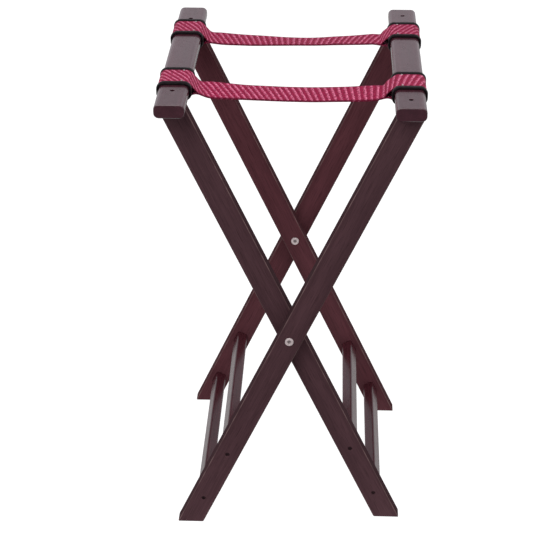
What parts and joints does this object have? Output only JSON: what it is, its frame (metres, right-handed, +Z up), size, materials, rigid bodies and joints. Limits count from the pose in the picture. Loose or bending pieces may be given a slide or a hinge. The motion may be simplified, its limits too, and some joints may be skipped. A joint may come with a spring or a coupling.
{
  "type": "folding luggage rack",
  "caption": "Tall folding luggage rack in dark mahogany: two crossed leg frames on pivot bolts, flat top rails, flat rungs and two crimson webbing straps over black sleeves",
  "frame": {"origin": "on the floor, in the middle of the rack's footprint (bottom centre of the bounding box)", "axes": "+Z is up; +Y runs along the rails and rungs to the rear; +X points to the outer frame's top rail"},
  "size_m": [0.4228, 0.467, 0.7916],
  "materials": {
    "mahogany": "dark red-brown stain under a satin lacquer",
    "mahogany_rail": "dark red-brown stain under a satin lacquer, a little worn on top",
    "black_screw": "black oxide",
    "zinc": "bright zinc plate",
    "tack_steel": "plain steel, slightly dull",
    "nylon": "smooth nylon washer",
    "crimson_webbing": "flat woven webbing with thin light pink lines across it",
    "black_sleeve": "soft black sleeve with rounded rims"
  },
  "bodies": {
    "outer_frame": {"outer_top_rail": "mahogany_rail", "outer_leg_front": "mahogany", "outer_upper_rung_screw_front": "black_screw", "outer_lower_rung_screw_front": "black_screw", "outer_rail_screw_front": "black_screw", "outer_sleeve_front": "black_sleeve", "outer_strap_loop_front": "crimson_webbing", "outer_tack_front_near": "tack_steel", "outer_tack_front_far": "tack_steel", "outer_leg_rear": "mahogany", "outer_upper_rung_screw_rear": "black_screw", "outer_lower_rung_screw_rear": "black_screw", "outer_rail_screw_rear": "black_screw", "outer_sleeve_rear": "black_sleeve", "outer_strap_loop_rear": "crimson_webbing", "outer_tack_rear_near": "tack_steel", "outer_tack_rear_far": "tack_steel", "outer_rung_upper": "mahogany", "outer_rung_lower": "mahogany", "pivot_bolt_front": "zinc", "pivot_nut_front": "zinc", "pivot_washer_front": "nylon", "pivot_bolt_rear": "zinc", "pivot_nut_rear": "zinc", "pivot_washer_rear": "nylon"},
    "inner_frame": {"inner_top_rail": "mahogany_rail", "inner_leg_front": "mahogany", "inner_upper_rung_screw_front": "black_screw", "inner_lower_rung_screw_front": "black_screw", "inner_rail_screw_front": "black_screw", "inner_sleeve_front": "black_sleeve", "inner_strap_loop_front": "crimson_webbing", "inner_tack_front_near": "tack_steel", "inner_tack_front_far": "tack_steel", "inner_leg_rear": "mahogany", "inner_upper_rung_screw_rear": "black_screw", "inner_lower_rung_screw_rear": "black_screw", "inner_rail_screw_rear": "black_screw", "inner_sleeve_rear": "black_sleeve", "inner_strap_loop_rear": "crimson_webbing", "inner_tack_rear_near": "tack_steel", "inner_tack_rear_far": "tack_steel", "inner_rung_upper": "mahogany", "inner_rung_lower": "mahogany"},
    "outer_strap_hang_front_body": {"outer_strap_hang_front": "crimson_webbing"},
    "outer_strap_middle_front_body": {"outer_strap_middle_front": "crimson_webbing"},
    "inner_strap_hang_front_body": {"inner_strap_hang_front": "crimson_webbing"},
    "inner_strap_middle_front_body": {"inner_strap_middle_front": "crimson_webbing"},
    "outer_strap_hang_rear_body": {"outer_strap_hang_rear": "crimson_webbing"},
    "outer_strap_middle_rear_body": {"outer_strap_middle_rear": "crimson_webbing"},
    "inner_strap_hang_rear_body": {"inner_strap_hang_rear": "crimson_webbing"},
    "inner_strap_middle_rear_body": {"inner_strap_middle_rear": "crimson_webbing"}
  },
  "joints": [
    {"name": "fold", "type": "hinge", "parent": "outer_frame", "child": "inner_frame", "pos_m": [0, 0, 0.3657], "axis": [0, 1, 0], "range_deg": [0, 40]},
    {"name": "outer_hang_front", "type": "hinge", "parent": "outer_frame", "child": "outer_strap_hang_front_body", "pos_m": [0.1499, 0, 0.7705], "axis": [0, 1, 0], "range_deg": [-72, 0], "deforming": ["outer_strap_hang_front"]},
    {"name": "outer_turn_front", "type": "hinge", "parent": "outer_strap_hang_front_body", "child": "outer_strap_middle_front_body", "pos_m": [0.012, 0, 0.76522], "axis": [0, 1, 0], "range_deg": [0, 92], "deforming": ["outer_strap_middle_front"]},
    {"name": "inner_hang_front", "type": "hinge", "parent": "inner_frame", "child": "inner_strap_hang_front_body", "pos_m": [-0.1499, 0, 0.7705], "axis": [0, 1, 0], "range_deg": [0, 72], "deforming": ["inner_strap_hang_front"]},
    {"name": "inner_turn_front", "type": "hinge", "parent": "inner_strap_hang_front_body", "child": "inner_strap_middle_front_body", "pos_m": [-0.012, 0, 0.76522], "axis": [0, 1, 0], "range_deg": [-92, 0], "deforming": ["inner_strap_middle_front"]},
    {"name": "outer_hang_rear", "type": "hinge", "parent": "outer_frame", "child": "outer_strap_hang_rear_body", "pos_m": [0.1499, 0, 0.7705], "axis": [0, 1, 0], "range_deg": [-72, 0], "deforming": ["outer_strap_hang_rear"]},
    {"name": "outer_turn_rear", "type": "hinge", "parent": "outer_strap_hang_rear_body", "child": "outer_strap_middle_rear_body", "pos_m": [0.012, 0, 0.76522], "axis": [0, 1, 0], "range_deg": [0, 92], "deforming": ["outer_strap_middle_rear"]},
    {"name": "inner_hang_rear", "type": "hinge", "parent": "inner_frame", "child": "inner_strap_hang_rear_body", "pos_m": [-0.1499, 0, 0.7705], "axis": [0, 1, 0], "range_deg": [0, 72], "deforming": ["inner_strap_hang_rear"]},
    {"name": "inner_turn_rear", "type": "hinge", "parent": "inner_strap_hang_rear_body", "child": "inner_strap_middle_rear_body", "pos_m": [-0.012, 0, 0.76522], "axis": [0, 1, 0], "range_deg": [-92, 0], "deforming": ["inner_strap_middle_rear"]}
  ],
  "couplings": [
    {"joint": "outer_hang_front", "follows": "fold", "ratio": -1.7949},
    {"joint": "outer_turn_front", "follows": "fold", "ratio": 2.2977},
    {"joint": "inner_hang_front", "follows": "fold", "ratio": 1.7949},
    {"joint": "inner_turn_front", "follows": "fold", "ratio": -2.2977},
    {"joint": "outer_hang_rear", "follows": "fold", "ratio": -1.7949},
    {"joint": "outer_turn_rear", "follows": "fold", "ratio": 2.2977},
    {"joint": "inner_hang_rear", "follows": "fold", "ratio": 1.7949},
    {"joint": "inner_turn_rear", "follows": "fold", "ratio": -2.2977}
  ]
}
